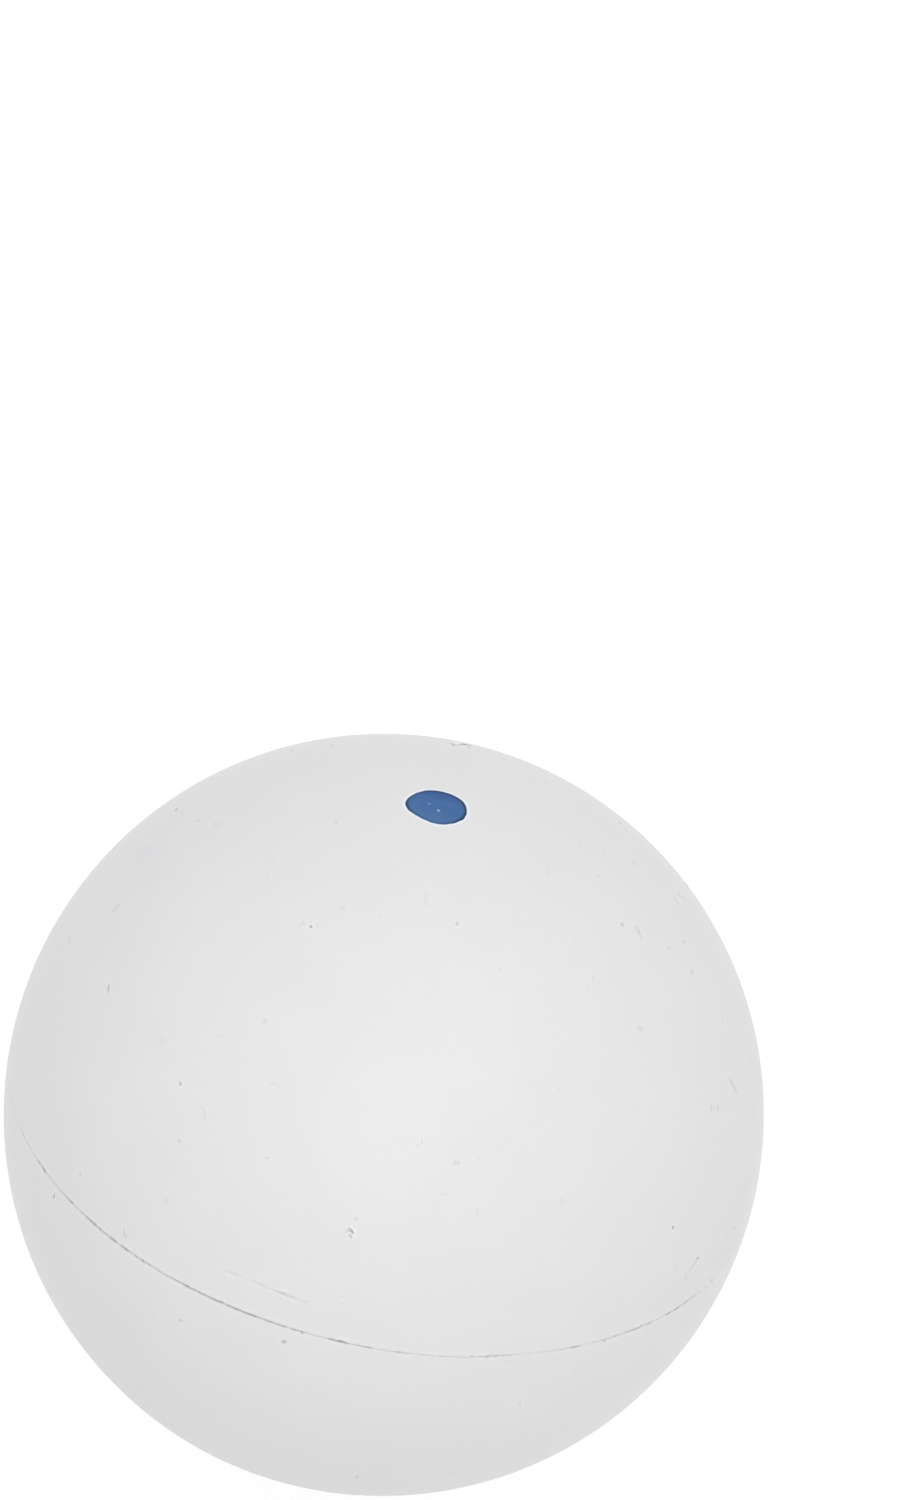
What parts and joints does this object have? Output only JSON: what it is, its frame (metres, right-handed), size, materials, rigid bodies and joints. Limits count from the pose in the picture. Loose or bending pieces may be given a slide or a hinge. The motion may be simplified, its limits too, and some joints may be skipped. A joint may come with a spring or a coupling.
{
  "type": "squash ball",
  "caption": "Hollow white rubber squash ball with an equatorial seam and a blue speed dot near one pole.",
  "frame": {"origin": "centre of the ball", "axes": "+Z through the pole of the half shell that carries the dot, square to the seam; -Y towards the side the picture shows"},
  "size_m": [0.04, 0.04, 0.0401],
  "materials": {
    "white_rubber": "matte",
    "rubber_cement": "matte",
    "blue_ink": "matte"
  },
  "bodies": {
    "root": {"upper_half_shell": "white_rubber", "lower_half_shell": "white_rubber", "seam_cement": "rubber_cement", "blue_dot": "blue_ink"}
  },
  "joints": []
}
